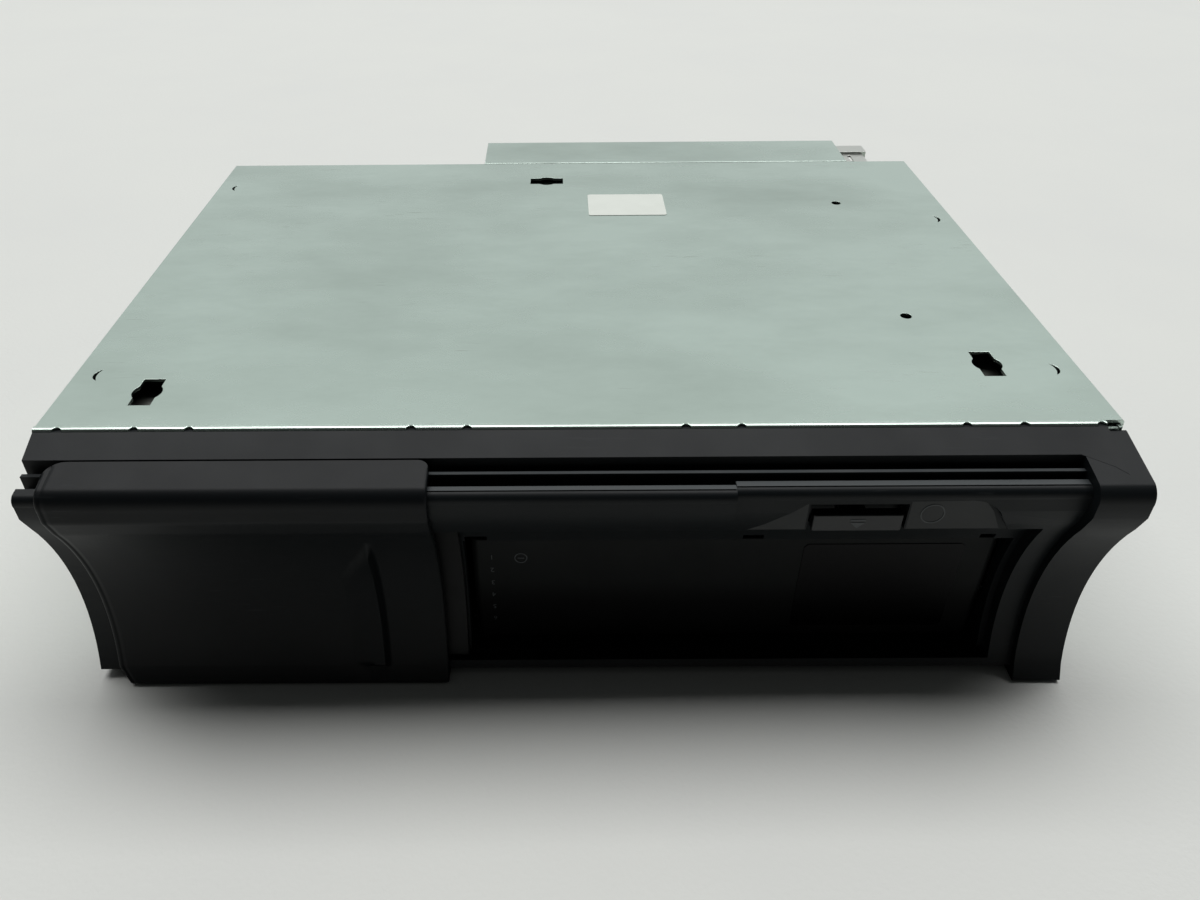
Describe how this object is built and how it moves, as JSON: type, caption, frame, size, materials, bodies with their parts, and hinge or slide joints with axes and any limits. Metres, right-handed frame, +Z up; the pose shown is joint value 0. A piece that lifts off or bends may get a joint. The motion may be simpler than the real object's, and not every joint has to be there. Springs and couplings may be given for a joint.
{
  "type": "car cd changer",
  "caption": "Under-seat or boot disc changer lying upside down: steel case, moulded front with sliding door leaves, pull-out magazine of disc trays, lifting play deck.",
  "frame": {"origin": "centre of the steel case's resting face, on the surface that the unit lies on", "axes": "X along the door, left to right as seen by someone facing it; Y from the door to the connector; Z up. The unit is stored upside down, as pictured, so its slotted underside faces +Z and its top cover rests at z = 0."},
  "size_m": [0.248, 0.2112, 0.0711],
  "materials": {
    "galvanised": "zinc coated sheet, dull and mottled",
    "bezel": "fine spark texture, satin",
    "door": "fine spark texture, satin",
    "leaf": "plain moulded",
    "button": "plain moulded",
    "magazine": "plain moulded",
    "label": "glossy film, blank",
    "sticker": "blank paper",
    "tray": "plain moulded",
    "frame": "pressed sheet",
    "rods": "ground bar",
    "acetal": "natural acetal",
    "dial": "plain moulded",
    "rubber": "moulded",
    "motor": "drawn can",
    "board": "green solder mask",
    "chip": "moulded",
    "capacitor": "sleeved can",
    "socket": "moulded",
    "connector": "nickel plated shell",
    "insert": "moulded",
    "pins": "bare pins",
    "lens": "coated lens",
    "screws": "zinc plated"
  },
  "bodies": {
    "case": {"bottom_plate": "galvanised", "top_cover": "galvanised", "rear_panel": "galvanised", "rear_housing": "galvanised", "connector_shell": "connector", "connector_insert": "insert", "connector_pins": "pins", "case_screws": "screws", "front_bezel": "bezel", "eject_switch": "chip", "eject_board": "board", "blank_sticker": "sticker", "mech_base": "frame", "mech_wall_left": "frame", "mech_wall_right": "frame", "mech_wall_rear": "frame", "bay_floor": "frame", "bay_roof": "frame", "bay_runners": "acetal", "roof_stays": "frame", "magazine_stops": "rubber", "dampers": "rubber", "lift_motor": "motor", "lift_studs": "rods", "deck_guide_rods": "rods", "main_board": "board", "board_standoffs": "screws", "board_chips": "chip", "board_capacitors": "capacitor", "board_connectors": "socket", "rear_board": "board"},
    "outer_door": {"outer_door": "door"},
    "inner_door": {"inner_door": "leaf"},
    "eject_button": {"eject_button": "button"},
    "magazine": {"magazine_shell": "magazine", "magazine_label": "label"},
    "deck": {"deck_chassis": "frame", "spindle_motor": "motor", "sled_rods": "rods", "sled_motor": "motor", "puller_rod": "rods"},
    "lift_cam": {"lift_cam": "frame"},
    "lift_gear": {"lift_gear": "acetal"},
    "idler_gear": {"idler_gear": "acetal"},
    "motor_pinion": {"motor_pinion": "acetal"},
    "turntable": {"turntable": "chip"},
    "clamp_arm": {"clamp_arm": "frame"},
    "clamper": {"clamper": "dial"},
    "pickup_sled": {"pickup_sled": "leaf", "pickup_lens": "lens"},
    "lead_screw": {"lead_screw": "rods"},
    "tray_puller": {"tray_puller": "acetal"},
    "angle_dial_left": {"angle_dial_left": "dial"},
    "angle_dial_right": {"angle_dial_right": "dial"},
    "tray_1": {"tray_1": "tray"},
    "tray_2": {"tray_2": "tray"},
    "tray_3": {"tray_3": "tray"},
    "tray_4": {"tray_4": "tray"},
    "tray_5": {"tray_5": "tray"},
    "tray_6": {"tray_6": "tray"}
  },
  "joints": [
    {"name": "outer_door_slide", "type": "slide", "parent": "case", "child": "outer_door", "axis": [1, 0, 0], "range_m": [0, 0.1445]},
    {"name": "inner_door_slide", "type": "slide", "parent": "case", "child": "inner_door", "axis": [1, 0, 0], "range_m": [0, 0.066]},
    {"name": "eject_press", "type": "slide", "parent": "case", "child": "eject_button", "axis": [0, 1, 0], "range_m": [0, 0.0025], "stiffness_N_per_m": 300, "springref_m": -0.0015},
    {"name": "magazine_slide", "type": "slide", "parent": "case", "child": "magazine", "axis": [0, -1, 0], "range_m": [0, 0.175]},
    {"name": "tray_1_slide", "type": "slide", "parent": "magazine", "child": "tray_1", "axis": [-1, 0, 0], "range_m": [0, 0.0796]},
    {"name": "tray_2_slide", "type": "slide", "parent": "magazine", "child": "tray_2", "axis": [-1, 0, 0], "range_m": [0, 0.0796]},
    {"name": "tray_3_slide", "type": "slide", "parent": "magazine", "child": "tray_3", "axis": [-1, 0, 0], "range_m": [0, 0.0796]},
    {"name": "tray_4_slide", "type": "slide", "parent": "magazine", "child": "tray_4", "axis": [-1, 0, 0], "range_m": [0, 0.0796]},
    {"name": "tray_5_slide", "type": "slide", "parent": "magazine", "child": "tray_5", "axis": [-1, 0, 0], "range_m": [0, 0.0796]},
    {"name": "tray_6_slide", "type": "slide", "parent": "magazine", "child": "tray_6", "axis": [-1, 0, 0], "range_m": [0, 0.0796]},
    {"name": "deck_lift", "type": "slide", "parent": "case", "child": "deck", "axis": [0, 0, -1], "range_m": [0, 0.0392]},
    {"name": "lift_cam_slide", "type": "slide", "parent": "case", "child": "lift_cam", "axis": [0, 1, 0], "range_m": [0, 0.0392]},
    {"name": "lift_gear_spin", "type": "hinge", "parent": "case", "child": "lift_gear", "pos_m": [-0.12, 0.038, 0.0189], "axis": [-1, 0, 0], "range_deg": [0, 281]},
    {"name": "idler_gear_spin", "type": "hinge", "parent": "case", "child": "idler_gear", "pos_m": [-0.12, 0.05867, 0.01138], "axis": [1, 0, 0], "range_deg": [0, 406]},
    {"name": "motor_pinion_spin", "type": "hinge", "parent": "case", "child": "motor_pinion", "pos_m": [-0.12, 0.07096, 0.01998], "axis": [-1, 0, 0], "range_deg": [0, 609]},
    {"name": "turntable_spin", "type": "hinge", "parent": "deck", "child": "turntable", "pos_m": [-0.043, -0.0132, 0.05], "axis": [0, 0, 1], "continuous": true},
    {"name": "clamp_arm_pivot", "type": "hinge", "parent": "deck", "child": "clamp_arm", "pos_m": [-0.109, -0.0132, 0.0465], "axis": [0, 1, 0], "range_deg": [0, 2]},
    {"name": "clamper_spin", "type": "hinge", "parent": "clamp_arm", "child": "clamper", "pos_m": [-0.043, -0.0132, 0.046], "axis": [0, 0, 1], "continuous": true},
    {"name": "sled_slide", "type": "slide", "parent": "deck", "child": "pickup_sled", "axis": [0, 1, 0], "range_m": [0, 0.033]},
    {"name": "lead_screw_spin", "type": "hinge", "parent": "deck", "child": "lead_screw", "pos_m": [-0.066, 0.02, 0.0585], "axis": [0, 1, 0], "range_deg": [0, 4951]},
    {"name": "puller_slide", "type": "slide", "parent": "deck", "child": "tray_puller", "axis": [-1, 0, 0], "range_m": [0, 0.0796]},
    {"name": "angle_dial_left_turn", "type": "hinge", "parent": "case", "child": "angle_dial_left", "pos_m": [-0.1235, -0.02, 0.028], "axis": [1, 0, 0], "range_deg": [0, 90]},
    {"name": "angle_dial_right_turn", "type": "hinge", "parent": "case", "child": "angle_dial_right", "pos_m": [0.1235, -0.02, 0.028], "axis": [1, 0, 0], "range_deg": [0, 90]}
  ],
  "couplings": [
    {"joint": "inner_door_slide", "follows": "outer_door_slide", "ratio": 0.4567},
    {"joint": "lift_cam_slide", "follows": "deck_lift", "ratio": 1},
    {"joint": "lift_gear_spin", "follows": "deck_lift", "rad_per_m": 125},
    {"joint": "idler_gear_spin", "follows": "deck_lift", "rad_per_m": 180.56},
    {"joint": "motor_pinion_spin", "follows": "deck_lift", "rad_per_m": 270.83},
    {"joint": "clamper_spin", "follows": "turntable_spin", "ratio": 1},
    {"joint": "lead_screw_spin", "follows": "sled_slide", "rad_per_m": 2618}
  ]
}
